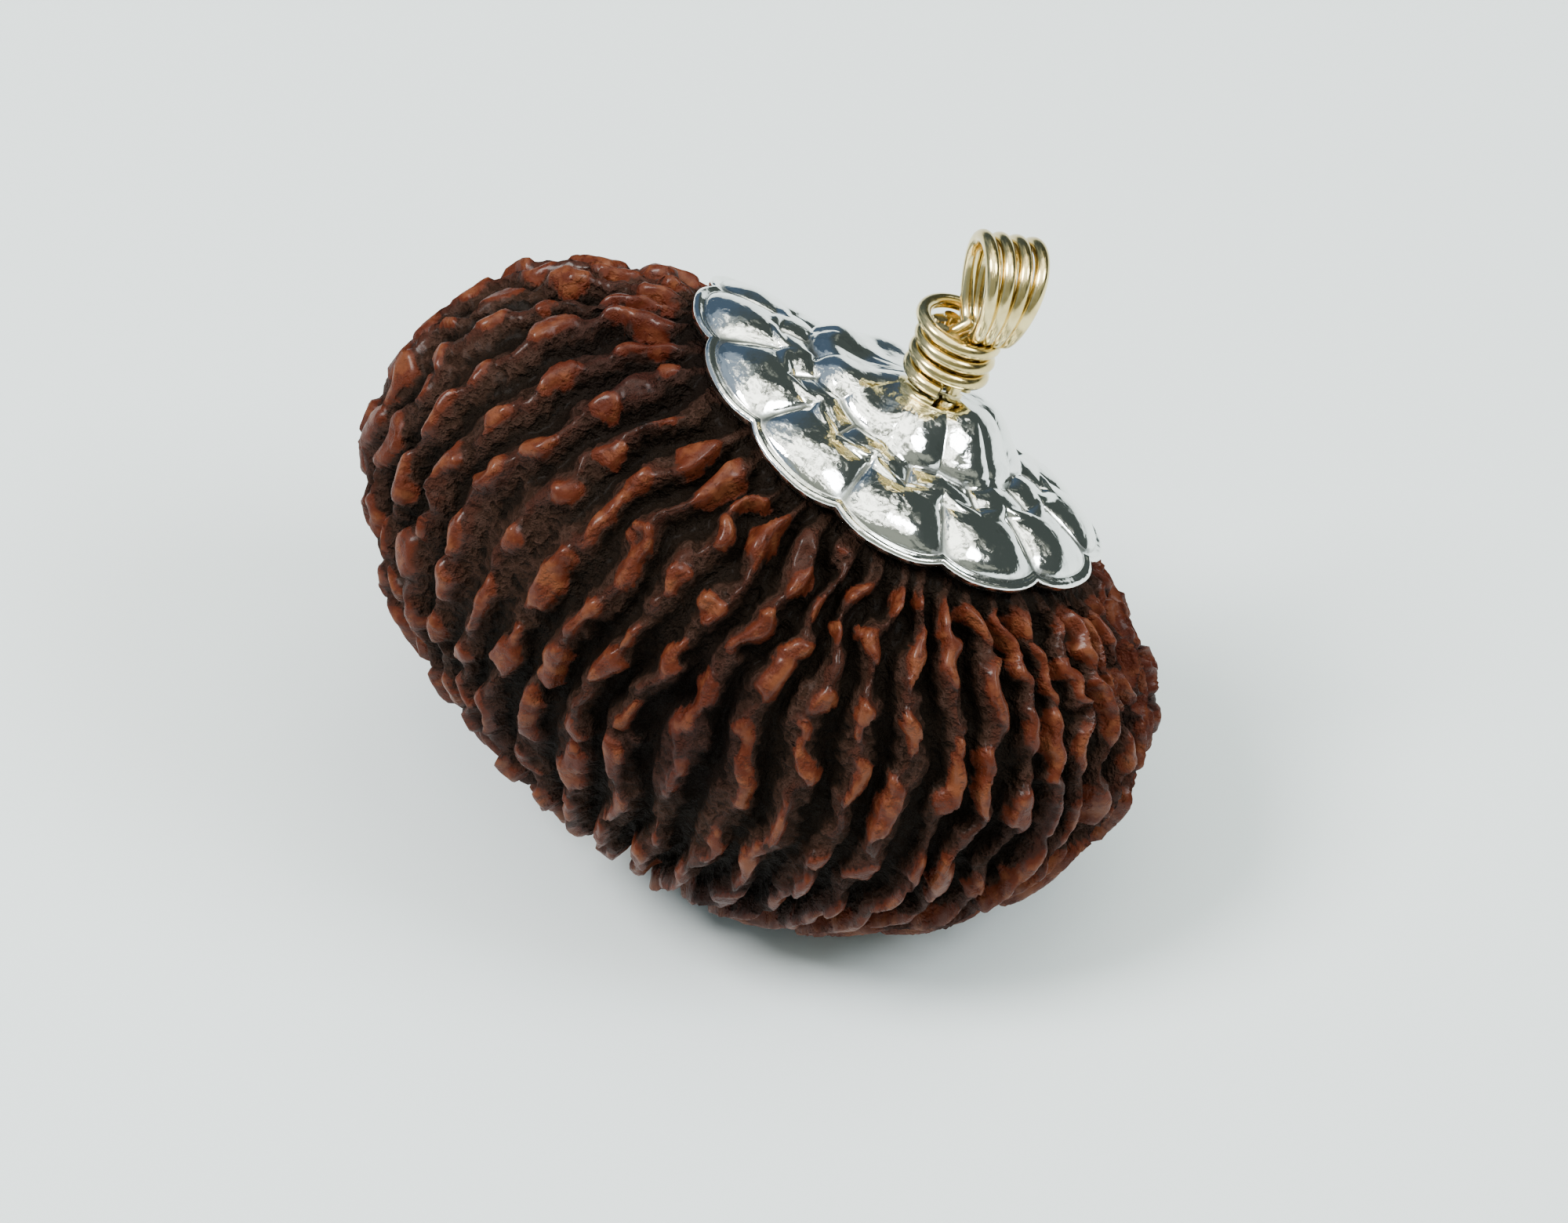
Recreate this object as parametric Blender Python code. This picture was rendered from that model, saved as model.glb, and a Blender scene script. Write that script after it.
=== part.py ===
"""Rudraksha bead pendant: a ribbed, knobbly seed bead with a petalled silver cap and a gold wire bail.

The bead's own frame has its hole along Z, the cap at the top and the long axis along X. An empty holds
that frame at the lean in which the pendant rests on the flat spot worn on its ribs, at world Z = 0.
"""

import math

import bmesh
import bpy
import numpy as np
from mathutils import Matrix, Vector

MM = 0.001

# Bead: half sizes along the long axis, across it and along the hole, for its two ends each
LONG_HALF = (17.3 * MM, 19.3 * MM)
CROSS_HALF = (10.6 * MM, 12.7 * MM)
HOLE_HALF = (11.2 * MM, 13.0 * MM)
BEAD_FULLNESS = 0.92
LONG_BEND = 1.2 * MM
BACK_DROP = 3.6 * MM
BACK_DROP_MIDDLE = -4 * MM
BACK_DROP_REACH = 9.5 * MM
HOLE_RADIUS = 1.0 * MM
RIBS = 44
SHELL_DEPTH = 0.45 * MM
RIB_RISE = 0.28 * MM
RIB_HALF_WIDTH = 0.5 * MM
GROOVE_DEPTH = 0.55 * MM
GROOVE_HALF_WIDTH = 0.38 * MM
RIB_CROWDING = 0.2
CROWDED_SIDE = math.radians(-42.0)
COLUMNS = (0.0, 0.34, 0.66)
ROWS = 46
POLE_ANGLE = 0.16
MEAN_RADIUS = 14.0 * MM
DIMPLE_DEPTH = 0.9 * MM
BEAD_SEED = 11

# Rest: the long axis dips towards +X, the cap leans back towards +Y and the ribs are worn flat at Z = 0
BEAD_PLACE = (0.76 * MM, 1.24 * MM, 12.3 * MM)
DIP = math.radians(22.0)
LEAN = math.radians(26.0)

# Cap: a pressed silver sheet in twelve petals round a raised dome
CAP_LONG_HALF = 10.1 * MM
CAP_CROSS_HALF = (6.7 * MM, 8.2 * MM)
CAP_SHEET = 0.45 * MM
CAP_GAP = 0.35 * MM
PETALS = 12
PETAL_NOTCH = 0.05
PETAL_RISE = 0.65 * MM
DOME_RISE = 1.4 * MM
DOME_LOBES = 7
DOME_SHARE = 0.53
CAP_HOLE = 0.55 * MM
CAP_COLUMNS = PETALS * 5

# Bail: one wire of 22 gauge, four loops side by side over a neck that the same wire is wound round
WIRE = 0.64 * MM
WIRE_SIDES = 6
NECK_BASE = (0.35 * MM, -0.1 * MM, 13.34 * MM)
NECK_RADIUS = 1.33 * MM
NECK_LENGTH = 3.5 * MM
NECK_TILT = math.radians(-13.0)
WRAP_TURNS = 3.6
WRAP_START = math.radians(-80.0)
WRAP_PITCH = 0.75 * MM
WRAP_BULGE = 0.25 * MM
LOOPS = 4
LOOP_HEIGHT = 4.2 * MM
LOOP_HALF_WIDTH = 1.95 * MM
LOOP_TILT = math.radians(-16.0)
LOOP_TURN = math.radians(30.0)
LOOP_FOOT = 0.95 * MM
LOOP_SPACING_TOP = 0.76 * MM
LOOP_SPACING_NECK = 0.42 * MM
CURL_TURNS = 1.5
CURL_RADIUS = 1.75 * MM
CURL_START = 0.55 * MM
OVERLAP = 0.12 * MM


def waves(points, wavelength, seed, count=18):
    """Smooth noise of about unit size: a sum of sine waves in seeded directions."""
    rng = np.random.default_rng(seed)
    ways = rng.normal(size=(count, 3))
    ways /= np.linalg.norm(ways, axis=1, keepdims=True)
    turns = 2 * math.pi / (wavelength * rng.uniform(0.75, 1.5, count))
    phases = rng.uniform(0, 2 * math.pi, count)
    return np.sin(points @ (ways * turns[:, None]).T + phases).sum(1) / math.sqrt(count / 2)


def smooth_step(low, high, x):
    """0 below low, 1 above high, and a smooth S between them."""
    t = np.clip((x - low) / (high - low), 0, 1)
    return t * t * (3 - 2 * t)


def rib_angle(rib, polar):
    """Angle round the hole of a rib coordinate: whole numbers are grooves, halves are crests."""
    turn = 2 * math.pi * rib / RIBS
    crowded = turn - RIB_CROWDING * np.sin(turn - CROWDED_SIDE)
    meander = 0.05 * np.sin(2.2 * polar + 3 * turn) + 0.016 * np.sin(6.5 * polar + 7 * turn)
    return crowded + meander + 0.008 * np.sin(12 * polar - 5 * turn) + 0.10 * (polar - math.pi / 2)


def half_size(ends, share):
    """Half size that runs from the second of two ends (share -1) to the first (share 1)."""
    return (ends[0] + ends[1]) / 2 + (ends[0] - ends[1]) / 2 * share


def plain_bead(angle, polar):
    """Points and outward normals of the bead without its relief."""
    long_half = half_size(LONG_HALF, np.cos(angle))
    cross_half = half_size(CROSS_HALF, np.sin(angle))
    hole_half = half_size(HOLE_HALF, np.cos(polar))
    reach = np.sin(polar) ** BEAD_FULLNESS
    height = np.sign(np.cos(polar)) * np.abs(np.cos(polar)) ** BEAD_FULLNESS
    x, y, z = long_half * reach * np.cos(angle), cross_half * reach * np.sin(angle), hole_half * height
    normals = np.stack([x / long_half**2, y / cross_half**2, z / hole_half**2], -1)
    drop = BACK_DROP * np.clip(y / cross_half + 0.2, 0, 1.2) ** 1.5 * np.cos(polar / 2) ** 2
    drop = drop * np.exp(-(((x - BACK_DROP_MIDDLE) / BACK_DROP_REACH) ** 2))
    points = np.stack([x, y, z + LONG_BEND * (x / long_half) ** 3 - drop], -1)
    return points, normals / np.linalg.norm(normals, axis=-1, keepdims=True)


def rib_width(rib, polar):
    """Distance from one groove to the next."""
    one, _ = plain_bead(rib_angle(np.floor(rib), polar), polar)
    other, _ = plain_bead(rib_angle(np.floor(rib) + 1, polar), polar)
    return np.linalg.norm(one - other, axis=-1)


def knobs():
    """Each knob as its rib coordinate, polar angle, height, half length, half width and taper."""
    rng = np.random.default_rng(BEAD_SEED)
    found = []
    for rib in range(RIBS):
        crowded = (1 + math.cos(2 * math.pi * rib / RIBS - CROWDED_SIDE)) / 2
        polar = rng.uniform(0.52, 0.72)
        while polar < 2.72:
            length = rng.uniform(0.7, 1.4 + 1.1 * crowded) * MM
            side = rib + 0.5 + rng.uniform(-0.14, 0.14)
            half_width = 0.34 * MM + rng.uniform(0.1, 0.32) * length * (1 - 0.5 * crowded)
            height = rng.uniform(0.28, 0.60) * MM
            found.append((side, polar, height, length, half_width, rng.uniform(-0.6, 0.6)))
            polar += (1.7 * length + rng.uniform(0.3, 2.0) * MM) / MEAN_RADIUS
    return found


def knob_relief(rib, polar, width):
    """Height of the knobs: steep-sided, flat-topped drops that lie along the ribs."""
    relief = np.zeros_like(polar)
    for centre, middle, height, length, half_width, taper in knobs():
        along = (polar - middle) * MEAN_RADIUS / length
        offset = (rib - centre + RIBS / 2) % RIBS - RIBS / 2
        across = offset * width / (half_width * (1 - 0.45 * taper * np.clip(along, -1, 1)))
        relief = np.maximum(relief, height * (1 - smooth_step(0.3, 1.4, along**2 + across**2)))
    return relief


def bead_relief(rib, polar):
    """Height over the plain bead: a sunken shell, grooves below it, thin ribs and knobs above."""
    points, _ = plain_bead(rib_angle(rib, polar), polar)
    width = rib_width(rib, polar)
    side = np.abs(rib - np.floor(rib) - 0.5) * width
    open_ribs = smooth_step(0.4 * MM, 1.5 * MM, width)
    ribs = RIB_RISE * np.exp(-((side / RIB_HALF_WIDTH) ** 2)) * (1 + 0.5 * waves(points, 4 * MM, 8))
    grooves = GROOVE_DEPTH * np.exp(-(((width / 2 - side) / GROOVE_HALF_WIDTH) ** 2))
    grooves = grooves * (1 + 0.3 * waves(points, 9 * MM, 5))
    surface = ribs + knob_relief(rib, polar, width) - SHELL_DEPTH - open_ribs * grooves
    cap_cross = half_size(CAP_CROSS_HALF, np.sin(rib_angle(rib, polar)))
    cap_share = np.hypot(points[..., 0] / CAP_LONG_HALF, points[..., 1] / cap_cross)
    bared = smooth_step(0.98, 1.13, np.where(polar < 1.3, cap_share, 2))
    shown = bared * smooth_step(3.02, 2.70, polar)
    dimple = DIMPLE_DEPTH * smooth_step(2.80, 3.02, polar)
    return shown * surface - 0.15 * MM * (1 - shown) - dimple


def bead_points(rib, polar):
    """Points of the ribbed bead in its own frame."""
    points, normals = plain_bead(rib_angle(rib, polar), polar)
    return points + normals * bead_relief(rib, polar)[..., None]


def join_rings(faces, upper, lower):
    """Adds the faces between two closed rings of vertices, of equal count or of one twice the other."""
    if len(upper) == len(lower):
        for i in range(len(upper)):
            j = (i + 1) % len(upper)
            faces.append((upper[i], lower[i], lower[j], upper[j]))
        return
    few, many = (upper, lower) if len(upper) < len(lower) else (lower, upper)
    for i in range(len(few)):
        left, right = few[i], few[(i + 1) % len(few)]
        first, middle, last = (many[(2 * i + k) % len(many)] for k in range(3))
        fan = [(left, first, middle), (left, middle, right), (right, middle, last)]
        faces.extend(fan if few is upper else [face[::-1] for face in fan])


def bead_rings():
    """Rings of points from the cap's pole to the far pole, with fewer columns near the poles."""
    rings = []
    for polar in np.linspace(POLE_ANGLE, math.pi - POLE_ANGLE, ROWS):
        step = 1 if math.sin(polar) > 0.52 else 2
        step = step if math.sin(polar) > 0.26 else 4
        rib = (np.arange(RIBS)[:, None] + np.array(COLUMNS)).ravel()[::step]
        rings.append(bead_points(rib, np.full(len(rib), polar)))
    for ring, place in ((rings[0], 0), (rings[-1], len(rings) + 1)):
        turn = np.arctan2(ring[:, 1], ring[:, 0])
        mouth = np.stack([np.cos(turn), np.sin(turn), np.zeros_like(turn)], 1) * HOLE_RADIUS
        mouth[:, 2] = ring[:, 2].mean() * 1.01
        rings.insert(place, mouth)
    return rings


def mesh_from_rings(name, rings):
    """A closed mesh through the rings, joined last to first as the wall of the hole."""
    points, faces, numbers = [], [], []
    for ring in rings:
        numbers.append(list(range(len(points), len(points) + len(ring))))
        points.extend(ring.tolist())
    for upper, lower in zip(numbers, numbers[1:] + numbers[:1]):
        join_rings(faces, upper, lower)
    mesh = bpy.data.meshes.new(name)
    mesh.from_pydata(points, [], faces)
    return mesh


def keep_largest_shell(bm):
    """Drop what the flat cut leaves as small shells of their own, where the floor of a groove ends on it."""
    unseen, shells = set(bm.verts), []
    while unseen:
        shell, waiting = set(), [unseen.pop()]
        while waiting:
            vert = waiting.pop()
            shell.add(vert)
            for edge in vert.link_edges:
                other = edge.other_vert(vert)
                if other in unseen:
                    unseen.discard(other)
                    waiting.append(other)
        shells.append(shell)
    for shell in sorted(shells, key=len)[:-1]:
        bmesh.ops.delete(bm, geom=list(shell), context="VERTS")


def make_bead(pose):
    """The bead, with its ribs worn flat where the pose brings them below Z = 0."""
    mesh = mesh_from_rings("rudraksha_bead", bead_rings())
    bm = bmesh.new()
    bm.from_mesh(mesh)
    back = pose.inverted()
    plane = {"plane_co": back @ Vector((0, 0, 0)), "plane_no": back.to_3x3() @ Vector((0, 0, 1))}
    geom = bm.verts[:] + bm.edges[:] + bm.faces[:]
    cut = bmesh.ops.bisect_plane(bm, geom=geom, dist=1e-7, clear_inner=True, **plane)["geom_cut"]
    rims = [edge for edge in cut if isinstance(edge, bmesh.types.BMEdge)]
    bmesh.ops.holes_fill(bm, edges=rims, sides=0)
    keep_largest_shell(bm)
    bmesh.ops.triangulate(bm, faces=bm.faces[:])
    bmesh.ops.recalc_face_normals(bm, faces=bm.faces[:])
    bm.to_mesh(mesh)
    bm.free()
    return add_object("rudraksha_bead", mesh, material("seed_shell", (0.12, 0.042, 0.024), 0.45, 0.0))


def cap_outline(angle):
    """Share of the cap's reach at an angle: twelve round petal ends with notches between them."""
    across = 2 * (angle * PETALS / (2 * math.pi) % 1) - 1
    return 1 - PETAL_NOTCH * np.abs(across) ** 2.6


def cap_relief(share, angle):
    """Height of the sheet over the lowest line it follows, from the hole (share 0) to the rim (1)."""
    across = 2 * (angle * PETALS / (2 * math.pi) % 1) - 1
    between = 2 * (angle * PETALS / (2 * math.pi) % 1 + 0.5) % 2 - 1
    outer = np.clip(1 - ((share - 0.80) / 0.155) ** 2, 0, 1) ** 0.6 * (1 - np.abs(across) ** 2.2) ** 0.7
    middle = np.clip(1 - ((share - 0.60) / 0.09) ** 2, 0, 1) ** 0.6 * (1 - np.abs(between) ** 2.2) ** 0.7
    lobed = DOME_SHARE * (1 - 0.05 * np.cos(DOME_LOBES * angle / 2 + 0.4) ** 2)
    dome = np.clip(1 - (share / lobed) ** 3.5, 0, 1) ** 0.42
    dome = dome * (1 - 0.12 * np.cos(DOME_LOBES * angle / 2 + 0.4) ** 2 * smooth_step(0.12, 0.40, share))
    back = np.clip(np.sin(angle) - 0.3 * np.cos(angle), 0, 1)
    dome = dome * (1 + 0.5 * back * smooth_step(0.1, 0.5, share))
    seat = math.tan(-NECK_TILT) * share * CAP_LONG_HALF * np.cos(angle) * smooth_step(0.46, 0.22, share)
    return PETAL_RISE * (1 - 0.45 * back) * (outer + 0.7 * middle) + DOME_RISE * dome + seat


def cap_points(share, angle, height):
    """Points at a height over the plain bead, inside the petalled outline."""
    x = share * cap_outline(angle) * CAP_LONG_HALF * np.cos(angle)
    y = share * cap_outline(angle) * half_size(CAP_CROSS_HALF, np.sin(angle)) * np.sin(angle)
    around = angle
    for _ in range(6):
        along = x / half_size(LONG_HALF, np.cos(around))
        across = y / half_size(CROSS_HALF, np.sin(around))
        around = np.arctan2(across, along)
    reach = np.hypot(along, across)
    points, normals = plain_bead(around, np.arcsin(reach ** (1 / BEAD_FULLNESS)))
    return points + normals * height[..., None]


def make_cap():
    """The cap: an upper and a lower face one sheet apart, joined at the hole and at the rim."""
    angle = np.arange(CAP_COLUMNS) * 2 * math.pi / CAP_COLUMNS
    hole = CAP_HOLE / CAP_CROSS_HALF[0]
    shares = [0.2, 0.32, 0.42, 0.475, 0.505, 0.53, 0.59, 0.645, 0.69, 0.755, 0.83, 0.90, 0.955, 1.0]
    upper, lower = [], []
    for share in [hole] + shares:
        relief = cap_relief(np.full(CAP_COLUMNS, share), angle)
        upper.append(cap_points(share, angle, CAP_GAP + relief + CAP_SHEET))
        lower.append(cap_points(share, angle, CAP_GAP + relief))
    mesh = mesh_from_rings("silver_cap", upper + lower[::-1])
    close_up(mesh)
    return add_object("silver_cap", mesh, material("silver", (0.86, 0.87, 0.84), 0.16, 1.0))


def close_up(mesh):
    """Triangulates a mesh and points its faces outwards."""
    bm = bmesh.new()
    bm.from_mesh(mesh)
    bmesh.ops.triangulate(bm, faces=bm.faces[:])
    bmesh.ops.recalc_face_normals(bm, faces=bm.faces[:])
    bm.to_mesh(mesh)
    bm.free()


def neck_frame(tilt, foot):
    """A frame whose Z leans by tilt towards +X and whose origin is foot."""
    return Matrix.Translation(foot) @ Matrix.Rotation(tilt, 4, "Y")


def tube(name, route, radius, sides=WIRE_SIDES):
    """A closed round tube along a route of points, as a helper for the union."""
    route = np.array(route)
    ways = np.gradient(route, axis=0)
    ways /= np.linalg.norm(ways, axis=1, keepdims=True)
    side = np.cross(ways[0], (0.31, 0.95, 0.05))
    turn = np.arange(sides) * 2 * math.pi / sides
    points, faces = [], []
    for place, way in zip(route, ways):
        side = side - way * (side @ way)
        side /= np.linalg.norm(side)
        ring = np.outer(np.cos(turn), side) + np.outer(np.sin(turn), np.cross(way, side))
        points.extend((place + radius * ring).tolist())
    for step in range(len(route) - 1):
        for k in range(sides):
            j = (k + 1) % sides
            here, there = step * sides, (step + 1) * sides
            faces.append((here + k, here + j, there + j, there + k))
    faces.append(tuple(reversed(range(sides))))
    faces.append(tuple(range((len(route) - 1) * sides, len(route) * sides)))
    mesh = bpy.data.meshes.new(name)
    mesh.from_pydata(points, [], faces)
    close_up(mesh)
    return mesh


def loop_route(number, frame):
    """One loop of the bail: up from the neck, round the top and down again."""
    place = number - (LOOPS - 1) / 2
    route = []
    for step in range(19):
        turn = math.pi * (2 * step / 18 - 1)
        rise = (1 + math.cos(turn)) / 2
        spacing = LOOP_SPACING_NECK + (LOOP_SPACING_TOP - LOOP_SPACING_NECK) * rise
        side = LOOP_HALF_WIDTH * math.sin(turn) * (0.55 + 0.45 * rise)
        side += 0.45 * MM * math.copysign(1 - rise, turn)
        route.append(frame @ Vector((place * spacing, side, LOOP_HEIGHT * rise - 0.5 * MM)))
    return route


def wrap_route(frame):
    """The turns round the neck from the cap up to the loops, the last of them bulging at one side."""
    count = int(WRAP_TURNS * 13)
    route = []
    for step in range(count + 1):
        turn = 2 * math.pi * WRAP_TURNS * step / count
        angle = WRAP_START - turn
        bulge = max(0, math.cos(angle - math.pi)) * max(0, step / count - 0.7) / 0.2
        radius = NECK_RADIUS + WIRE / 2 - OVERLAP + WRAP_BULGE * bulge
        height = WIRE / 2 + WRAP_PITCH * turn / (2 * math.pi) + 0.5 * WRAP_BULGE * bulge
        route.append(frame @ Vector((radius * math.cos(angle), radius * math.sin(angle), height)))
    return route


def stem_route(foot, base, neck):
    """The wire from the curl that holds it below the bead, up through the hole and into the neck."""
    route = []
    for step in range(27, 0, -1):
        turn = 2 * math.pi * CURL_TURNS * step / 27
        radius = CURL_START + (CURL_RADIUS - CURL_START) * step / 27
        route.append(Vector((radius * math.cos(turn), radius * math.sin(turn), foot)))
    route.append(Vector((CURL_START, 0, foot)))
    route.append(Vector((0.25 * CURL_START, -0.55 * CURL_START, foot + 0.1 * MM)))
    route.append(Vector((0, -0.3 * CURL_START, foot + 0.45 * MM)))
    route += [Vector((0, 0, foot + 1.2 * MM)), Vector((0, 0, base.z))]
    return route + [neck @ Vector((0, 0, 1.2 * MM))]


def make_bail():
    """The wire: its curl, its straight run through the bead, the neck with its turns, and the loops."""
    foot = -(HOLE_HALF[1] - 0.45 * MM)
    base = Vector(NECK_BASE)
    neck = neck_frame(NECK_TILT, base)
    crown = neck @ neck_frame(LOOP_TILT - NECK_TILT, Vector((LOOP_FOOT, 0, NECK_LENGTH)))
    crown = crown @ Matrix.Rotation(LOOP_TURN, 4, "Z")
    pieces = [tube("neck", [neck @ Vector((0, 0, z)) for z in (0.05 * MM, NECK_LENGTH)], NECK_RADIUS, 12)]
    pieces.append(tube("stem", stem_route(foot, base, neck), WIRE / 2))
    pieces.append(tube("wraps", wrap_route(neck), WIRE / 2))
    pieces += [tube(f"loop_{n}", loop_route(n, crown), WIRE / 2) for n in range(LOOPS)]
    return add_object("bail_wire", union(pieces), material("gold_wire", (0.85, 0.70, 0.36), 0.22, 1.0))


def union(meshes):
    """One closed mesh of several that overlap, by a Boolean union on a collection."""
    helpers = bpy.data.collections.new("wire_runs")
    for mesh in meshes[1:]:
        helpers.objects.link(bpy.data.objects.new(mesh.name, mesh))
    first = bpy.data.objects.new("wire_union", meshes[0])
    bpy.context.scene.collection.objects.link(first)
    joint = first.modifiers.new("joined", "BOOLEAN")
    joint.operation = "UNION"
    joint.operand_type = "COLLECTION"
    joint.collection = helpers
    joint.solver = "EXACT"
    bpy.context.view_layer.update()
    evaluated = first.evaluated_get(bpy.context.evaluated_depsgraph_get())
    made = bpy.data.meshes.new_from_object(evaluated)
    for helper in [first] + list(helpers.objects):
        bpy.data.objects.remove(helper)
    bpy.data.collections.remove(helpers)
    return made


def material(name, colour, roughness, metallic):
    """A Principled material."""
    made = bpy.data.materials.new(name)
    made.use_nodes = True
    shader = made.node_tree.nodes["Principled BSDF"]
    shader.inputs["Base Color"].default_value = (*colour, 1)
    shader.inputs["Roughness"].default_value = roughness
    shader.inputs["Metallic"].default_value = metallic
    return made


def add_object(name, mesh, finish):
    """Puts a mesh in the scene as a named object with its material."""
    mesh.materials.clear()
    mesh.materials.append(finish)
    mesh.shade_smooth()
    mesh.set_sharp_from_angle(angle=math.radians(50))
    made = bpy.data.objects.new(name, mesh)
    bpy.context.scene.collection.objects.link(made)
    return made


def main():
    """Builds the pendant and sets it down at its resting lean."""
    for old in list(bpy.data.objects):
        bpy.data.objects.remove(old)
    pose = bpy.data.objects.new("resting_pose", None)
    bpy.context.scene.collection.objects.link(pose)
    turned = Matrix.Rotation(DIP, 4, "Y") @ Matrix.Rotation(-LEAN, 4, "X")
    pose.matrix_world = Matrix.Translation(BEAD_PLACE) @ turned
    for piece in (make_bead(pose.matrix_world), make_cap(), make_bail()):
        piece.parent = pose


main()
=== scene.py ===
"""A rudraksha bead pendant, its petalled silver cap and its wire bail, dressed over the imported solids.

Everything is in metres. The bead's own frame has its hole along Z, the cap at the top and the long axis
along X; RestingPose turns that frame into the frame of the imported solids.
"""

import logging
import math
from dataclasses import dataclass, field
from enum import Enum
from typing import Any, Iterable, Sequence

import bmesh
import bpy
import numpy as np
from mathutils import Matrix, Vector


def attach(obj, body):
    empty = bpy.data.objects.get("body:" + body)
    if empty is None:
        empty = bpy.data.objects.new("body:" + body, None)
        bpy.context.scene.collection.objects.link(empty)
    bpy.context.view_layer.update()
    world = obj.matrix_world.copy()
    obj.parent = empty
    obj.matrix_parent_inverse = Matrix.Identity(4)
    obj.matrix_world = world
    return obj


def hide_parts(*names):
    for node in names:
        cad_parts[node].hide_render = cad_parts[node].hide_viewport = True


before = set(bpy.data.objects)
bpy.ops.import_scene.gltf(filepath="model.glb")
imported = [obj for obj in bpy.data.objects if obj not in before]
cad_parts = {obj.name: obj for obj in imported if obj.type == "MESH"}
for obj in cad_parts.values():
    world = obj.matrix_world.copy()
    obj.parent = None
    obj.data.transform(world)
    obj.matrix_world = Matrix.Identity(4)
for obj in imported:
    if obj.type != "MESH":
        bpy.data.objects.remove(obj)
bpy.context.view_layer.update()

Array = np.ndarray
Node = bpy.types.Node
Socket = bpy.types.NodeSocket
Tree = bpy.types.NodeTree
Pair = tuple[float, float]
Triple = tuple[float, float, float]

MM = 0.001
log = logging.getLogger("rudraksha_pendant")


def smooth_step(low: float, high: float, x: float | Array) -> Array:
    """A smooth S from 0 at low to 1 at high.

    Args:
        low: Value of x that gives 0.
        high: Value of x that gives 1.
        x: Where to read the S.

    Returns:
        The S at x.
    """
    t = np.clip((x - low) / (high - low), 0, 1)
    return t * t * (3 - 2 * t)


def waves(points: Array, wavelength: float, seed: int, count: int = 18) -> Array:
    """Smooth noise of about unit size: a sum of sine waves in seeded directions.

    Args:
        points: Positions, one to a row.
        wavelength: Middle wavelength of the waves.
        seed: Seed of their directions and phases.
        count: Number of waves.

    Returns:
        The noise at each position.
    """
    rng = np.random.default_rng(seed)
    ways = rng.normal(size=(count, 3))
    ways /= np.linalg.norm(ways, axis=1, keepdims=True)
    turns = 2 * math.pi / (wavelength * rng.uniform(0.75, 1.5, count))
    phases = rng.uniform(0, 2 * math.pi, count)
    return np.sin(points @ (ways * turns[:, None]).T + phases).sum(-1) / math.sqrt(count / 2)


def half_size(ends: Sequence[float], share: Array) -> Array:
    """Half size that runs from the second of two ends to the first.

    Args:
        ends: Half sizes at share 1 and at share -1.
        share: Place between them.

    Returns:
        The half size at each share.
    """
    return (ends[0] + ends[1]) / 2 + (ends[0] - ends[1]) / 2 * share


@dataclass(frozen=True)
class RestingPose:
    """How the pendant lies: the long axis dips and the cap leans back.

    Attributes:
        place: Where the bead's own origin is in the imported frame.
        dip: Angle by which the long axis drops towards +X.
        lean: Angle by which the cap leans towards +Y.
    """

    place: Triple = (0.76 * MM, 1.24 * MM, 12.3 * MM)
    dip: float = math.radians(22.0)
    lean: float = math.radians(26.0)

    def matrix(self) -> Matrix:
        """The bead's own frame as a matrix."""
        turned = Matrix.Rotation(self.dip, 4, "Y") @ Matrix.Rotation(-self.lean, 4, "X")
        return Matrix.Translation(self.place) @ turned

    def to_world(self, points: Array) -> Array:
        """Moves points from the bead's own frame.

        Args:
            points: Positions in the bead's own frame, one to a row.

        Returns:
            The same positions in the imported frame.
        """
        matrix = np.array(self.matrix())
        return points @ matrix[:3, :3].T + matrix[:3, 3]


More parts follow.
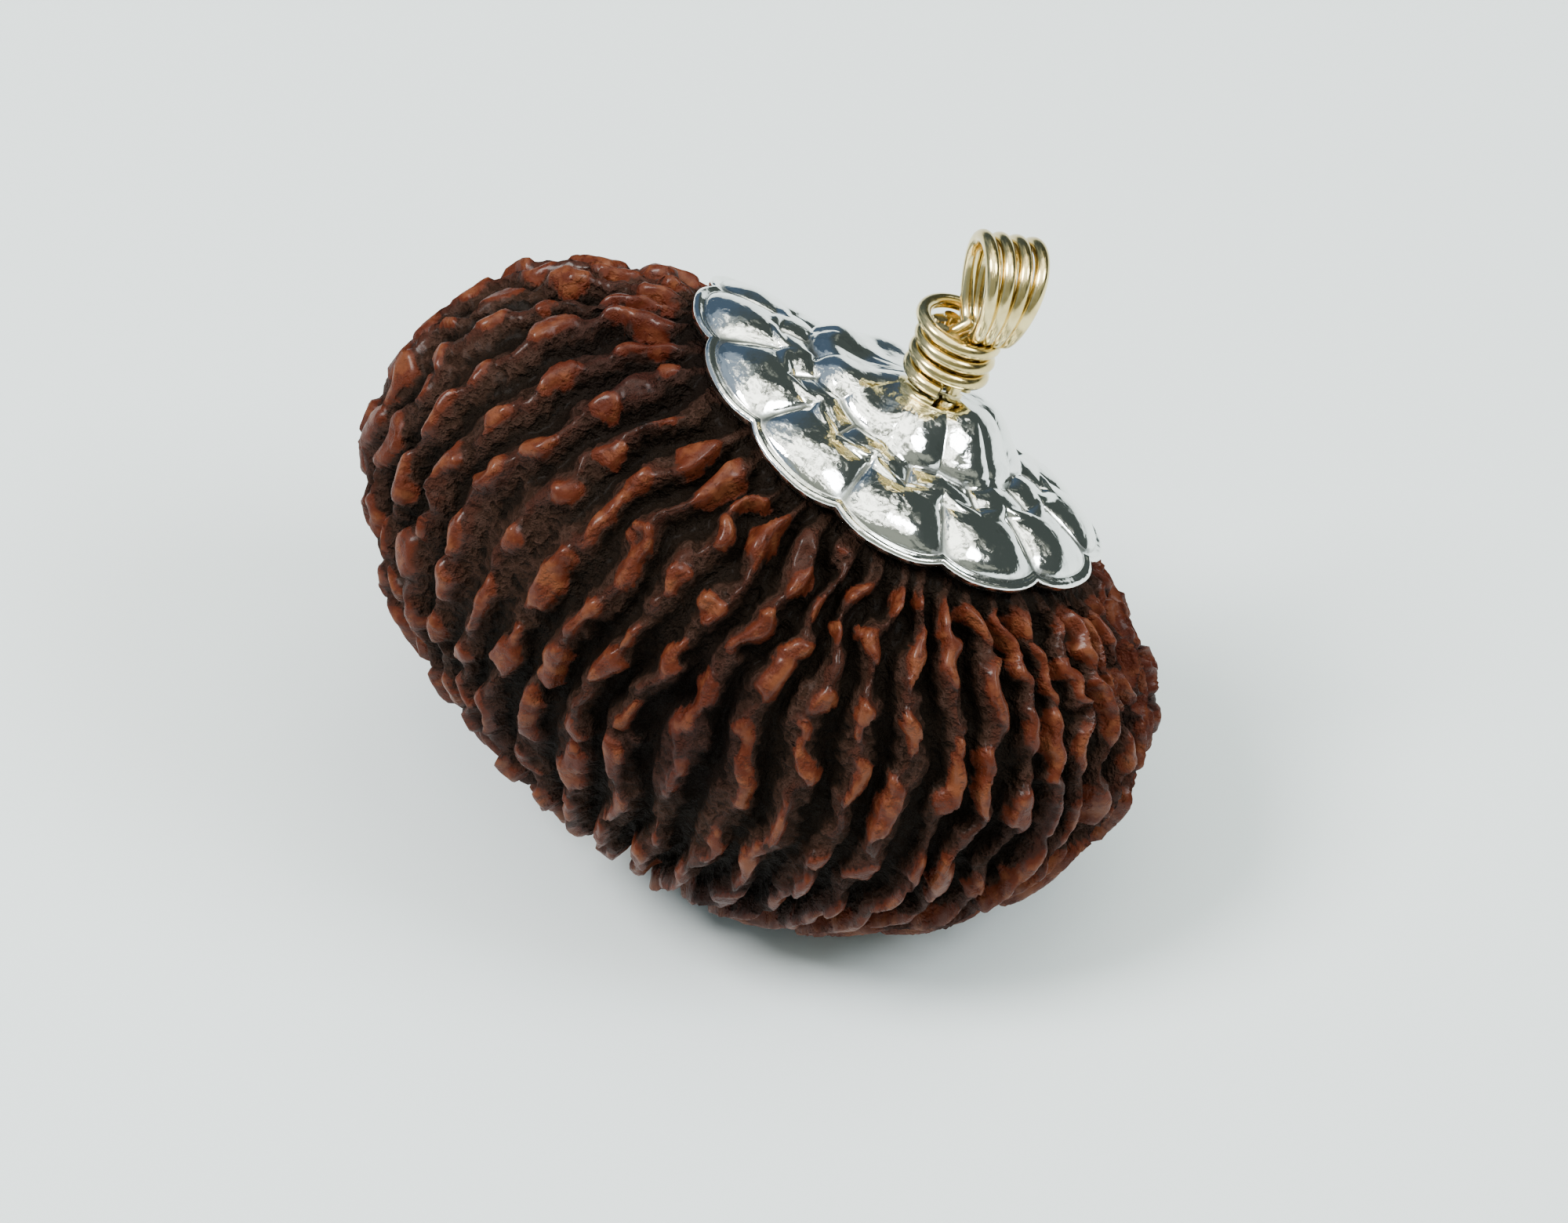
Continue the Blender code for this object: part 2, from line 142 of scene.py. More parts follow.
@dataclass(frozen=True)
class BeadForm:
    """The bead's shape without its ribs: a lopsided oval, fuller than an ellipsoid.

    Attributes:
        long_half: Half lengths of the long axis, towards +X and -X.
        cross_half: Half widths across it, towards +Y and -Y.
        hole_half: Half heights along the hole, at the cap and at the far end.
        fullness: 1 for an ellipse in side view, less for a fuller one.
        long_bend: How far the ends of the long axis rise and drop.
        back_drop: How far the shoulder drops behind the cap.
        drop_middle: Where along the long axis it drops most.
        drop_reach: How far from there the drop reaches.
    """

    long_half: Pair = (17.3 * MM, 19.3 * MM)
    cross_half: Pair = (10.6 * MM, 12.7 * MM)
    hole_half: Pair = (11.2 * MM, 13.0 * MM)
    fullness: float = 0.92
    long_bend: float = 1.2 * MM
    back_drop: float = 3.6 * MM
    drop_middle: float = -4 * MM
    drop_reach: float = 9.5 * MM

    def surface(self, angle: Array, polar: Array) -> tuple[Array, Array]:
        """Points and outward normals of the smooth form.

        Args:
            angle: Angle round the hole.
            polar: Angle from the cap's pole.

        Returns:
            The points and their normals.
        """
        long_half = half_size(self.long_half, np.cos(angle))
        cross_half = half_size(self.cross_half, np.sin(angle))
        hole_half = half_size(self.hole_half, np.cos(polar))
        reach = np.sin(polar) ** self.fullness
        height = np.sign(np.cos(polar)) * np.abs(np.cos(polar)) ** self.fullness
        x, y, z = long_half * reach * np.cos(angle), cross_half * reach * np.sin(angle), hole_half * height
        normals = np.stack([x / long_half**2, y / cross_half**2, z / hole_half**2], -1)
        drop = self.back_drop * np.clip(y / cross_half + 0.2, 0, 1.2) ** 1.5 * np.cos(polar / 2) ** 2
        drop = drop * np.exp(-(((x - self.drop_middle) / self.drop_reach) ** 2))
        points = np.stack([x, y, z + self.long_bend * (x / long_half) ** 3 - drop], -1)
        return points, normals / np.linalg.norm(normals, axis=-1, keepdims=True)

    def above(self, x: Array, y: Array, start: Array, height: Array) -> Array:
        """Points over the upper half, given by their place across the hole.

        Args:
            x: Place along the long axis.
            y: Place across it.
            start: First guess of the angle round the hole.
            height: Height over the smooth form.

        Returns:
            The points.
        """
        around = start
        for _ in range(6):
            along = x / half_size(self.long_half, np.cos(around))
            across = y / half_size(self.cross_half, np.sin(around))
            around = np.arctan2(across, along)
        points, normals = self.surface(around, np.arcsin(np.hypot(along, across) ** (1 / self.fullness)))
        return points + normals * height[..., None]


@dataclass
class RibPattern:
    """Thin ribs that run from pole to pole in a sunken shell, with flat-topped knobs along them.

    Attributes:
        form: The smooth form that carries them.
        ribs: Number of ribs.
        shell_depth: How far the shell between ribs lies below the smooth form.
        rib_rise: Height of the ribs over the shell.
        rib_half_width: Half width of the ribs.
        groove_depth: Depth of the grooves below the shell.
        groove_half_width: Half width of the grooves.
        crowding: How much closer the ribs are on the crowded side.
        crowded_side: Angle round the hole of the crowded side.
        cap_long_half: Half length of the cap, which the ribs stop short of.
        cap_cross_half: Half widths of the cap at its two sides.
        cap_edge: Shares of the cap's reach between which the ribs rise from under its rim.
        covered_depth: How far the plain shell under the cap lies below the smooth form.
        far_fade: Polar angles at which the ribs end and are whole again, near the far end of the hole.
        dimple: Depth of the hollow round the far end of the hole.
        dimple_fade: Polar angles at which the hollow begins and is full.
        mean_radius: Radius that turns polar angles into lengths.
        wander: How far ribs and knobs stray from their smooth outlines.
        swing: Wavelength, seed and weight of each wave that moves them sideways.
        slide: The same for those that move them lengthwise.
        thread: Height and half width of the thin thread along each crest.
        knob_heights: Lowest and highest knob.
        knob_span: Polar angle past which no more knobs start.
        seed: Seed of the knobs.
    """

    form: BeadForm = field(default_factory=BeadForm)
    ribs: int = 44
    shell_depth: float = 0.45 * MM
    rib_rise: float = 0.28 * MM
    rib_half_width: float = 0.5 * MM
    groove_depth: float = 0.55 * MM
    groove_half_width: float = 0.38 * MM
    crowding: float = 0.2
    crowded_side: float = math.radians(-42.0)
    cap_long_half: float = 10.1 * MM
    cap_cross_half: Pair = (6.7 * MM, 8.2 * MM)
    cap_edge: Pair = (0.98, 1.13)
    covered_depth: float = 0.15 * MM
    far_fade: Pair = (3.02, 2.70)
    dimple: float = 0.9 * MM
    dimple_fade: Pair = (2.80, 3.02)
    mean_radius: float = 14.0 * MM
    wander: float = 0.19 * MM
    swing: tuple[tuple[float, int, float], ...] = ((2.6 * MM, 31, 1.0), (1.3 * MM, 32, 0.6))
    slide: tuple[tuple[float, int, float], ...] = ((2.2 * MM, 33, 1.0), (1.2 * MM, 34, 0.5))
    thread: Pair = (0.18 * MM, 0.25 * MM)
    knob_heights: Pair = (0.28 * MM, 0.60 * MM)
    knob_span: float = 2.72
    seed: int = 11

    def angle(self, rib: Array, polar: Array) -> Array:
        """Angle round the hole of a rib coordinate: whole numbers are grooves, halves are crests."""
        turn = 2 * math.pi * rib / self.ribs
        crowded = turn - self.crowding * np.sin(turn - self.crowded_side)
        meander = 0.05 * np.sin(2.2 * polar + 3 * turn) + 0.016 * np.sin(6.5 * polar + 7 * turn)
        return crowded + meander + 0.008 * np.sin(12 * polar - 5 * turn) + 0.10 * (polar - math.pi / 2)

    def width(self, rib: Array, polar: Array) -> Array:
        """Distance from one groove to the next."""
        one, _ = self.form.surface(self.angle(np.floor(rib), polar), polar)
        other, _ = self.form.surface(self.angle(np.floor(rib) + 1, polar), polar)
        return np.linalg.norm(one - other, axis=-1)

    def knobs(self) -> list[tuple[float, ...]]:
        """Each knob as its rib coordinate, polar angle, height, half length, half width and taper."""
        rng = np.random.default_rng(self.seed)
        found = []
        for rib in range(self.ribs):
            crowded = (1 + math.cos(2 * math.pi * rib / self.ribs - self.crowded_side)) / 2
            polar = rng.uniform(0.52, 0.72)
            while polar < self.knob_span:
                length = rng.uniform(0.7, 1.4 + 1.1 * crowded) * MM
                side = rib + 0.5 + rng.uniform(-0.14, 0.14)
                half_width = 0.34 * MM + rng.uniform(0.1, 0.32) * length * (1 - 0.5 * crowded)
                height = rng.uniform(*self.knob_heights)
                found.append((side, polar, height, length, half_width, rng.uniform(-0.6, 0.6)))
                polar += (1.7 * length + rng.uniform(0.3, 2.0) * MM) / self.mean_radius
        return found

    def knob_relief(self, rib: Array, polar: Array, width: Array,
                    stray: tuple[Array, Array]) -> tuple[Array, Array]:
        """Height of the knobs and how far up its own knob each point is.

        Args:
            rib: Rib coordinates.
            polar: Polar angles.
            width: Widths of the ribs there.
            stray: How far the outlines stray along and across the ribs.

        Returns:
            The height, and the share of the knob's height.
        """
        relief, share = np.zeros_like(polar), np.zeros_like(polar)
        for centre, middle, height, length, half_width, taper in self.knobs():
            along = ((polar - middle) * self.mean_radius + stray[0]) / length
            offset = (rib - centre + self.ribs / 2) % self.ribs - self.ribs / 2
            across = (offset * width + stray[1]) / (half_width * (1 - 0.45 * taper * np.clip(along, -1, 1)))
            out = along**2 + across**2
            rise = 1 - smooth_step(0.35, 1.3, out)
            relief = np.maximum(relief, height * rise)
            share = np.maximum(share, 1 - smooth_step(0.55, 1.25, out))
        return relief, share

    def stray(self, points: Array, kinds: Sequence[tuple[float, int, float]]) -> Array:
        """How far the outlines stray at each point, by the given waves."""
        return self.wander * sum(weight * waves(points, length, seed) for length, seed, weight in kinds)

    def relief(self, rib: Array, polar: Array) -> dict[str, Array]:
        """Height over the smooth form, with the masks that colour it.

        Args:
            rib: Rib coordinates.
            polar: Polar angles.

        Returns:
            height, and the masks crest and knob, each from 0 to 1.
        """
        points, _ = self.form.surface(self.angle(rib, polar), polar)
        width = self.width(rib, polar)
        place = rib - np.floor(rib) - 0.5
        swing = self.stray(points, self.swing)
        side = np.abs(place * width + swing * (1 - (2 * place) ** 4))
        open_ribs = smooth_step(0.4 * MM, 1.5 * MM, width)
        ribs = self.rib_rise * np.exp(-((side / self.rib_half_width) ** 2))
        ribs = ribs * (1 + 0.5 * waves(points, 4 * MM, 8))
        thread = self.thread[0] * np.exp(-((side / self.thread[1]) ** 2))
        thread = thread * (1 + 0.6 * waves(points, 3 * MM, 17))
        grooves = self.groove_depth * np.exp(-(((width / 2 - side) / self.groove_half_width) ** 4))
        grooves = grooves * (1 + 0.3 * waves(points, 9 * MM, 5))
        knobs, share = self.knob_relief(rib, polar, width, (self.stray(points, self.slide), swing))
        surface = ribs + np.maximum(knobs, thread) - self.shell_depth - open_ribs * grooves
        cap_cross = half_size(self.cap_cross_half, np.sin(self.angle(rib, polar)))
        cap_share = np.hypot(points[..., 0] / self.cap_long_half, points[..., 1] / cap_cross)
        bared = smooth_step(*self.cap_edge, np.where(polar < 1.3, cap_share, 2))
        shown = bared * smooth_step(*self.far_fade, polar)
        dimple = self.dimple * smooth_step(*self.dimple_fade, polar)
        height = shown * surface - self.covered_depth * (1 - shown) - dimple
        # Painted shade: the crest mask falls with depth and drops further under the cap and round the far end
        # of the hole, which darkens the colour there.
        crest = smooth_step(-1.1 * MM, 0.5 * MM, surface) * (0.4 + 0.6 * shown)
        return {"height": height, "crest": crest, "knob": share * shown}


class NodeSketch:
    """Adds nodes to a tree and links them in one line each."""

    def __init__(self, tree: Tree) -> None:
        """Keeps the tree.

        Args:
            tree: The shader or geometry tree to add to.
        """
        self.tree = tree
        self.column = 0

    def add(self, kind: str, values: dict[Any, Any] | None = None, **settings: Any) -> Node:
        """Adds a node, sets its properties and fills or links its inputs.

        Args:
            kind: The node's type.
            values: Input name or number to a value or to another node's output.
            settings: The node's own properties.

        Returns:
            The node.
        """
        node = self.tree.nodes.new(kind)
        self.column += 1
        node.location = (self.column * 180 % 2400, -(self.column * 180 // 2400) * 260)
        for name, value in settings.items():
            setattr(node, name, value)
        for name, value in (values or {}).items():
            self.fill(node.inputs[name], value)
        return node

    def fill(self, socket: Socket, value: Any) -> None:
        """Links an output to a socket, or sets the socket's value."""
        if isinstance(value, Socket):
            self.tree.links.new(value, socket)
        else:
            socket.default_value = value

    def math(self, operation: str, *values: Any) -> Socket:
        """The output of a Math node."""
        return self.add("ShaderNodeMath", dict(enumerate(values)), operation=operation).outputs[0]

    def spread(self, value: Any, low: float, high: float, start: float = 0, end: float = 1) -> Socket:
        """A value spread smoothly from one range to another."""
        inputs = {"Value": value, "From Min": low, "From Max": high, "To Min": start, "To Max": end}
        return self.add("ShaderNodeMapRange", inputs, interpolation_type="SMOOTHSTEP").outputs[0]

    def blend(self, share: Any, one: Any, other: Any, way: str = "MIX") -> Socket:
        """A mix of two colours."""
        node = self.add("ShaderNodeMix", data_type="RGBA", blend_type=way)
        for socket, value in ((node.inputs[0], share), (node.inputs[6], one), (node.inputs[7], other)):
            self.fill(socket, value)
        return node.outputs[2]

    def noise(self, place: Any, scale: float, detail: float = 3, roughness: float = 0.55) -> Socket:
        """The value of a noise texture."""
        inputs = {"Vector": place, "Scale": scale, "Detail": detail, "Roughness": roughness}
        return self.add("ShaderNodeTexNoise", inputs).outputs[0]


def rgba(colour: Sequence[float]) -> tuple[float, float, float, float]:
    """A colour with full alpha."""
    return (*colour, 1.0)


def uneven_group() -> Tree:
    """The group that several finishes share: soft mottling and the fine unevenness of a handled surface.

    Returns:
        A group with inputs Place, Coarse and Fine (waves per metre) and outputs Mottle and Grain.
    """
    if "handled_surface" in bpy.data.node_groups:
        return bpy.data.node_groups["handled_surface"]
    group = bpy.data.node_groups.new("handled_surface", "ShaderNodeTree")
    group.interface.new_socket("Place", in_out="INPUT", socket_type="NodeSocketVector")
    for label, side in (("Coarse", "INPUT"), ("Fine", "INPUT"), ("Mottle", "OUTPUT"), ("Grain", "OUTPUT")):
        group.interface.new_socket(label, in_out=side, socket_type="NodeSocketFloat")
    sketch = NodeSketch(group)
    given = sketch.add("NodeGroupInput").outputs
    mottle = sketch.spread(sketch.noise(given["Place"], given["Coarse"], 3), 0.3, 0.7)
    grain = sketch.noise(given["Place"], given["Fine"], 4, 0.6)
    sketch.add("NodeGroupOutput", {"Mottle": mottle, "Grain": grain})
    return group


class Finish:
    """A procedural finish: a named material with a Principled BSDF."""

    name: str = "finish"

    def shade(self, sketch: NodeSketch, shader: Node) -> None:
        """Feeds the shader; each finish has its own."""
        raise NotImplementedError

    def make(self) -> bpy.types.Material:
        """Builds the material once.

        Returns:
            The material.
        """
        if self.name in bpy.data.materials:
            return bpy.data.materials[self.name]
        made = bpy.data.materials.new(self.name)
        made.use_nodes = True
        self.shade(NodeSketch(made.node_tree), made.node_tree.nodes["Principled BSDF"])
        return made

    @staticmethod
    def handled(sketch: NodeSketch, coarse: float, fine: float) -> tuple[Any, Socket]:
        """The shared group on Object coordinates.

        Args:
            sketch: The material's sketch.
            coarse: Waves per metre of the mottling.
            fine: Waves per metre of the grain.

        Returns:
            The group's outputs and the coordinates.
        """
        place = sketch.add("ShaderNodeTexCoord").outputs["Object"]
        node = sketch.add("ShaderNodeGroup", node_tree=uneven_group())
        for name, value in (("Place", place), ("Coarse", coarse), ("Fine", fine)):
            sketch.fill(node.inputs[name], value)
        return node.outputs, place

    @staticmethod
    def feed(sketch: NodeSketch, shader: Node, inputs: dict[str, Any], bump: Sequence[Any]) -> None:
        """Fills the shader's inputs and adds a bump.

        Args:
            sketch: The material's sketch.
            shader: Its Principled BSDF.
            inputs: Input name to a value or to a node's output.
            bump: Strength, distance and height of the bump.
        """
        for name, value in inputs.items():
            sketch.fill(shader.inputs[name], value)
        relief = sketch.add("ShaderNodeBump", dict(zip(("Strength", "Distance", "Height"), bump)))
        sketch.fill(shader.inputs["Normal"], relief.outputs[0])


@dataclass(frozen=True)
class SeedShellFinish(Finish):
    """Dry seed shell: red-brown ribs and mottled orange-brown knobs, with near-black painted shade in the
    crumpled grooves and a painted highlight on the knobs' tops.

    Attributes:
        name: The material's name.
        groove: Colour at the bottom of the grooves and creases: near-black painted shade over the shell's own
            dark brown.
        flank: Colour of the ribs' sides.
        crumb: Colour of the small raised wrinkles between the ribs.
        ridge: Colour of the crests.
        knob: Colour of the knobs.
        worn_and_highlit: Colour of the knobs' tops: their wear, lightened further as a painted highlight
            where light falls on them.
        purple_sheen: Tint of some stretches of the shell: a purplish painted sheen.
        glaze: Weight of the glaze on the knobs.
    """

    name: str = "seed_shell_dry"
    # Painted shade: near-black at the bottom of the grooves, where shade falls.
    groove: Triple = (0.0052, 0.0028, 0.0014)
    flank: Triple = (0.0165, 0.0076, 0.0044)
    crumb: Triple = (0.036, 0.0180, 0.0130)
    ridge: Triple = (0.032, 0.0102, 0.0060)
    knob: Triple = (0.060, 0.0125, 0.0050)
    # Partly painted highlight: lighter than the knobs, for their wear and for the light falling on their
    # tops.
    worn_and_highlit: Triple = (0.108, 0.0330, 0.0135)
    # Painted sheen: a purplish tint over some stretches of the shell.
    purple_sheen: Triple = (0.62, 0.50, 0.56)
    glaze: float = 0.20

    @staticmethod
    def wrinkles(sketch: NodeSketch, place: Socket, scale: float) -> Socket:
        """Sharp small ridges: 1 on their crests, falling away to both sides.

        Args:
            sketch: The material's sketch.
            place: The coordinates.
            scale: Waves per metre.

        Returns:
            Their height, from about 0 to 1.
        """
        folded = sketch.math("ABSOLUTE", sketch.math("SUBTRACT", sketch.noise(place, scale, 3, 0.6), 0.5))
        return sketch.math("MULTIPLY_ADD", folded, -5.0, 1.0)

    def shade(self, sketch: NodeSketch, shader: Node) -> None:
        """Colours by the height and knob masks, breaks both up, and glazes the knobs; the colours paint shade
        into the low places, a highlight on the knobs' tops and a purplish sheen over some stretches.
        """
        surface, place = self.handled(sketch, 1000.0, 3000.0)
        crest, knob, tint, swell = (sketch.add("ShaderNodeAttribute", attribute_name=label).outputs["Fac"]
                                    for label in ("crest", "knob", "tint", "swell"))
        wrinkles = self.wrinkles(sketch, place, 1500.0)
        swollen = sketch.math("MULTIPLY_ADD", swell, 0.35, -0.45)
        fine = sketch.math("MULTIPLY_ADD", surface["Grain"], 0.5, swollen)
        broken = sketch.math("ADD", crest, fine)
        # Painted shade: the lower the place, the darker its colour, down to near-black at the bottom of the
        # grooves.
        low = sketch.blend(sketch.spread(broken, 0.22, 0.46), rgba(self.groove), rgba(self.flank))
        above = sketch.spread(broken, 0.28, 0.55)
        raised = sketch.math("MULTIPLY", sketch.spread(wrinkles, 0.55, 1.0), above)
        low = sketch.blend(sketch.math("MULTIPLY", raised, 0.8), low, rgba(self.crumb))
        body = sketch.blend(sketch.spread(broken, 0.55, 0.85), low, rgba(self.ridge))
        ripe = sketch.math("ADD", sketch.math("MULTIPLY_ADD", fine, 0.8, knob),
                           sketch.math("MULTIPLY_ADD", surface["Mottle"], 0.60, -0.36))
        bumps = sketch.blend(sketch.spread(ripe, 0.45, 0.80), body, rgba(self.knob))
        # Painted highlight with wear: the highest parts of the knobs take the lighter top colour.
        tops = sketch.blend(sketch.spread(ripe, 0.85, 1.30), bumps, rgba(self.worn_and_highlit))
        # Painted sheen: the purplish tint, multiplied into the colour.
        purple_sheen = sketch.blend(1.0, tops, rgba(self.purple_sheen), "MULTIPLY")
        gloss = sketch.spread(ripe, 0.2, 0.9, 0.70, 0.42)
        rough = sketch.spread(knob, 0.3, 0.9, 1.0, 0.35)
        creased = sketch.math("MULTIPLY", wrinkles, rough)
        height = sketch.math("ADD", creased, sketch.math("MULTIPLY", surface["Grain"], 0.8))
        self.feed(sketch, shader, {
            "Base Color": sketch.blend(sketch.spread(tint, 0.0, 1.0, 0.0, 0.7), tops, purple_sheen),
            "Roughness": sketch.math("MULTIPLY_ADD", surface["Mottle"], 0.10, gloss),
            "Specular IOR Level": 0.06,
            "Coat Roughness": 0.22,
            "Coat Weight": sketch.spread(broken, 0.55, 1.05, 0.01, self.glaze),
        }, (1.0, 0.16 * MM, height))


@dataclass(frozen=True)
class SilverFinish(Finish):
    """Polished, lightly hammered silver with a grey film left in its creases.

    Attributes:
        name: The material's name.
        bright: Colour of the polished metal.
        film: Colour of the film in the creases.
    """

    name: str = "silver_hammered"
    bright: Triple = (0.91, 0.92, 0.89)
    film: Triple = (0.20, 0.215, 0.20)

    def shade(self, sketch: NodeSketch, shader: Node) -> None:
        """Polishes the high parts, dulls the creases and dents the surface finely."""
        surface, place = self.handled(sketch, 900.0, 3800.0)
        crease = sketch.add("ShaderNodeAttribute", attribute_name="crease").outputs["Fac"]
        dull = sketch.spread(sketch.math("MULTIPLY_ADD", surface["Grain"], 0.6, crease), 0.60, 1.15)
        stain = sketch.math("MULTIPLY", sketch.spread(surface["Mottle"], 0.80, 1.0), 0.16)
        film = sketch.math("MAXIMUM", dull, stain)
        small, large = sketch.noise(place, 1500.0, 2, 0.5), sketch.noise(place, 650.0, 1, 0.4)
        dents = sketch.math("MULTIPLY_ADD", small, 0.35, large)
        self.feed(sketch, shader, {
            "Base Color": sketch.blend(film, rgba(self.bright), rgba(self.film)),
            "Metallic": 1.0,
            "Roughness": sketch.spread(film, 0.0, 1.0, 0.07, 0.40),
        }, (0.45, 0.2 * MM, sketch.math("MULTIPLY_ADD", surface["Grain"], 0.08, dents)))


@dataclass(frozen=True)
class GoldWireFinish(Finish):
    """Pale drawn gold wire, bright, with faint drawing marks and a warm film.

    Attributes:
        name: The material's name.
        bright: Colour of the clean metal.
        film: Colour of the warmer, rubbed patches.
    """

    name: str = "gold_wire_drawn"
    bright: Triple = (0.80, 0.65, 0.31)
    film: Triple = (0.44, 0.32, 0.11)

    def shade(self, sketch: NodeSketch, shader: Node) -> None:
        """Warms some stretches and roughens the wire very slightly."""
        surface, _ = self.handled(sketch, 520.0, 4200.0)
        warm = sketch.spread(surface["Mottle"], 0.25, 0.95, 0.0, 0.55)
        self.feed(sketch, shader, {
            "Base Color": sketch.blend(warm, rgba(self.bright), rgba(self.film)),
            "Metallic": 1.0,
            "Roughness": sketch.spread(surface["Grain"], 0.3, 0.7, 0.13, 0.24),
        }, (0.12, 0.03 * MM, surface["Grain"]))


@dataclass(frozen=True)
class FloorFinish(Finish):
    """A matt pale board, faintly cooler in places.

    Attributes:
        name: The material's name.
        pale: Main colour.
        cool: Colour of the cooler places.
    """

    name: str = "pale_board"
    pale: Triple = (0.70, 0.765, 0.775)
    cool: Triple = (0.665, 0.735, 0.76)

    def shade(self, sketch: NodeSketch, shader: Node) -> None:
        """Mixes the two close greys in slow patches."""
        place = sketch.add("ShaderNodeTexCoord").outputs["Object"]
        patch = sketch.noise(place, 9.0, 2)
        sketch.fill(shader.inputs["Base Color"], sketch.blend(patch, rgba(self.pale), rgba(self.cool)))
        shader.inputs["Roughness"].default_value = 0.62


def set_input(modifier: bpy.types.Modifier, tree: Tree, name: str, value: Any) -> None:
    """Sets a Geometry Nodes input by its socket's identifier.

    Args:
        modifier: The Geometry Nodes modifier.
        tree: Its tree.
        name: The input's name.
        value: The value to set.
    """
    for item in tree.interface.items_tree:
        if item.item_type == "SOCKET" and item.in_out == "INPUT" and item.name == name:
            modifier[item.identifier] = value
            return
    raise KeyError(name)


def new_geometry_tree(name: str, inputs: Iterable[tuple[str, str, Any]]) -> tuple[Tree, NodeSketch, Any]:
    """Starts a Geometry Nodes tree with named inputs.

    Args:
        name: The tree's name.
        inputs: Each input's name, socket type and default.

    Returns:
        The tree, a sketch of it and the outputs of its Group Input.
    """
    tree = bpy.data.node_groups.new(name, "GeometryNodeTree")
    tree.interface.new_socket("Geometry", in_out="INPUT", socket_type="NodeSocketGeometry")
    for label, kind, default in inputs:
        socket = tree.interface.new_socket(label, in_out="INPUT", socket_type=kind)
        if default is not None:
            socket.default_value = default
    tree.interface.new_socket("Geometry", in_out="OUTPUT", socket_type="NodeSocketGeometry")
    sketch = NodeSketch(tree)
    return tree, sketch, sketch.add("NodeGroupInput").outputs


def close_geometry_tree(sketch: NodeSketch, shape: Socket, finish: Socket) -> None:
    """Ends a tree in Realize Instances, Shade Smooth and Set Material."""
    real = sketch.add("GeometryNodeRealizeInstances", {"Geometry": shape}).outputs[0]
    soft = sketch.add("GeometryNodeSetShadeSmooth", {"Geometry": real}).outputs[0]
    dressed = sketch.add("GeometryNodeSetMaterial", {"Geometry": soft, "Material": finish}).outputs[0]
    sketch.add("NodeGroupOutput", {"Geometry": dressed})


def worked_tree() -> Tree:
    """The tree that works unevenness into a surface, along its normals.

    Creases 0 gives soft dents, 1 sharp crumpled ridges, and what is at Level stays where it is. The
    unevenness is kept as the attribute swell.

    Returns:
        A tree with inputs Amount, Scale, Creases, Level, Seed and Material.
    """
    if "worked_surface" in bpy.data.node_groups:
        return bpy.data.node_groups["worked_surface"]
    tree, sketch, given = new_geometry_tree(
        "worked_surface",
        (
            ("Amount", "NodeSocketFloat", 0.05 * MM),
            ("Scale", "NodeSocketFloat", 900.0),
            ("Creases", "NodeSocketFloat", 0.0),
            ("Level", "NodeSocketFloat", 0.5),
            ("Seed", "NodeSocketFloat", 3.0),
            ("Material", "NodeSocketMaterial", None),
        ),
    )
    place = sketch.add("GeometryNodeInputPosition").outputs[0]
    normal = sketch.add("GeometryNodeInputNormal").outputs[0]
    mask = sketch.add("GeometryNodeInputNamedAttribute", {"Name": "work"}, data_type="FLOAT").outputs[0]
    cloud = {"Vector": place, "W": given["Seed"], "Scale": given["Scale"], "Detail": 2.5, "Roughness": 0.55}
    noise = sketch.add("ShaderNodeTexNoise", cloud, noise_dimensions="4D").outputs[0]
    folded = sketch.math("ABSOLUTE", sketch.math("SUBTRACT", noise, 0.5))
    ridged = sketch.math("MULTIPLY_ADD", folded, -4.0, 1.0)
    swell = sketch.add("ShaderNodeMix", {"Factor": given["Creases"], 2: noise, 3: ridged}).outputs[0]
    stored = {"Geometry": given["Geometry"], "Name": "swell", "Value": swell}
    kept = sketch.add("GeometryNodeStoreNamedAttribute", stored, data_type="FLOAT").outputs[0]
    sunk = sketch.math("SUBTRACT", swell, given["Level"])
    push = sketch.math("MULTIPLY", sunk, sketch.math("MULTIPLY", given["Amount"], mask))
    offset = sketch.add("ShaderNodeVectorMath", {0: normal, "Scale": push}, operation="SCALE").outputs[0]
    moved = sketch.add("GeometryNodeSetPosition", {"Geometry": kept, "Offset": offset}).outputs[0]
    close_geometry_tree(sketch, moved, given["Material"])
    return tree


def wire_tree() -> Tree:
    """The tree that sweeps a round wire along every spline of a curve.

    Returns:
        A tree with inputs Wire Radius, Sides and Material.
    """
    if "swept_wire" in bpy.data.node_groups:
        return bpy.data.node_groups["swept_wire"]
    tree, sketch, given = new_geometry_tree(
        "swept_wire",
        (
            ("Wire Radius", "NodeSocketFloat", 0.32 * MM),
            ("Sides", "NodeSocketInt", 20),
            ("Material", "NodeSocketMaterial", None),
        ),
    )
    round_wire = {"Resolution": given["Sides"], "Radius": given["Wire Radius"]}
    ring = sketch.add("GeometryNodeCurvePrimitiveCircle", round_wire).outputs[0]
    swept = sketch.add("GeometryNodeCurveToMesh", {"Curve": given["Geometry"], "Profile Curve": ring,
                                                   "Fill Caps": True}).outputs[0]
    close_geometry_tree(sketch, swept, given["Material"])
    return tree


